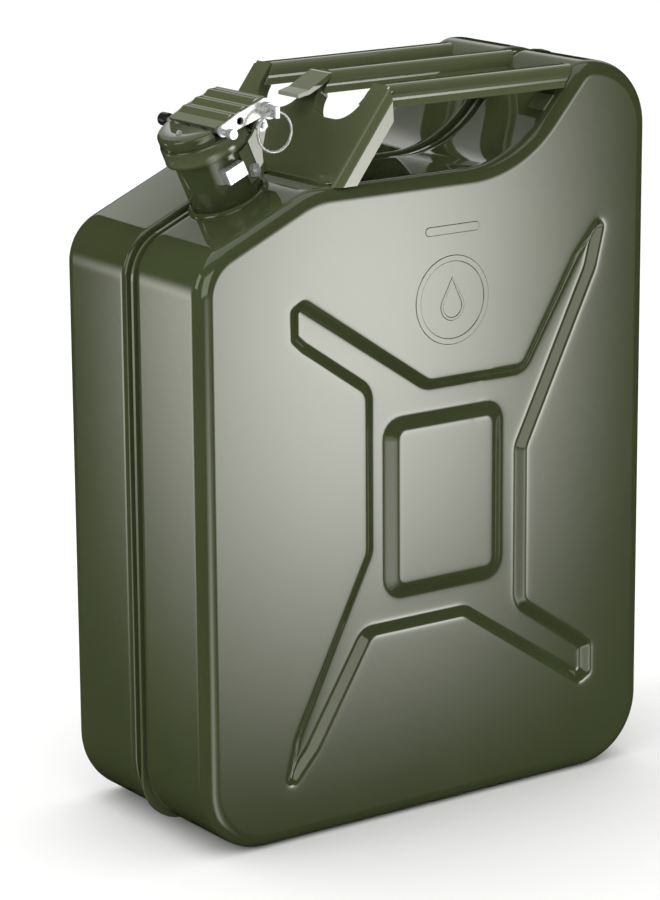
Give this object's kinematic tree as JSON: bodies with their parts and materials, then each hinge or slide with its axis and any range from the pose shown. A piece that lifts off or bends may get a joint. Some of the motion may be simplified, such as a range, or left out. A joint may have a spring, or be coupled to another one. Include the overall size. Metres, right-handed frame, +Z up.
{
  "type": "jerry can",
  "caption": "Pressed-steel fuel can of twenty litres with carrying bars, a recessed X on both faces and a tilted spout with a cam-lever cap and locking pin.",
  "frame": {"origin": "middle of the base, on the plane the can stands on", "axes": "+X from the spout's side to the hump, +Y through the thickness, +Z up"},
  "size_m": [0.345, 0.1566, 0.47],
  "materials": {
    "olive_paint": "glossy olive enamel",
    "zinc_plate": "bright zinc plating",
    "black_enamel": "glossy black",
    "black_rubber": "matt black rubber"
  },
  "bodies": {
    "can": {"near_shell": "olive_paint", "far_shell": "olive_paint", "seam_flange": "olive_paint", "neck": "olive_paint", "neck_weld": "olive_paint", "vent_tube": "olive_paint", "vent_clip": "olive_paint", "bracket": "olive_paint", "bracket_foot": "olive_paint", "handle_tongue": "olive_paint", "handle_near": "olive_paint", "handle_middle": "olive_paint", "handle_far": "olive_paint", "weld_tab_near": "olive_paint", "weld_tab_middle": "olive_paint", "weld_tab_far": "olive_paint", "neck_hinge": "olive_paint", "hinge_strap": "olive_paint", "strap_nut_near": "zinc_plate", "strap_nut_far": "zinc_plate", "catch_near": "zinc_plate", "catch_far": "zinc_plate", "hinge_pin": "zinc_plate", "hinge_washer": "zinc_plate"},
    "cap": {"cap_disc": "olive_paint", "cap_gasket": "black_rubber", "cap_yoke": "olive_paint", "cap_rivet": "zinc_plate", "front_plate": "olive_paint", "front_block": "olive_paint", "plate_rivet": "zinc_plate"},
    "lever": {"lever_plate": "olive_paint", "lever_arm_near": "zinc_plate", "lever_arm_far": "zinc_plate", "lever_pin": "zinc_plate", "knob_near": "zinc_plate", "knob_far": "black_enamel"},
    "lock": {"lock_pin": "zinc_plate"},
    "pull": {"lock_ring": "zinc_plate"}
  },
  "joints": [
    {"name": "cap_hinge", "type": "hinge", "parent": "can", "child": "cap", "pos_m": [-0.09748, -0.018, 0.44626], "axis": [0, 1, 0], "range_deg": [0, 100]},
    {"name": "lever_pivot", "type": "hinge", "parent": "cap", "child": "lever", "pos_m": [-0.1323, -0.018, 0.44652], "axis": [0, -1, 0], "range_deg": [0, 60]},
    {"name": "lock_slide", "type": "slide", "parent": "lever", "child": "lock", "axis": [0, -1, 0], "range_m": [0, 0.014]},
    {"name": "ring_swing", "type": "hinge", "parent": "lock", "child": "pull", "pos_m": [-0.10077, -0.053, 0.45684], "axis": [-1, 0, 0], "range_deg": [-4, 85]}
  ]
}
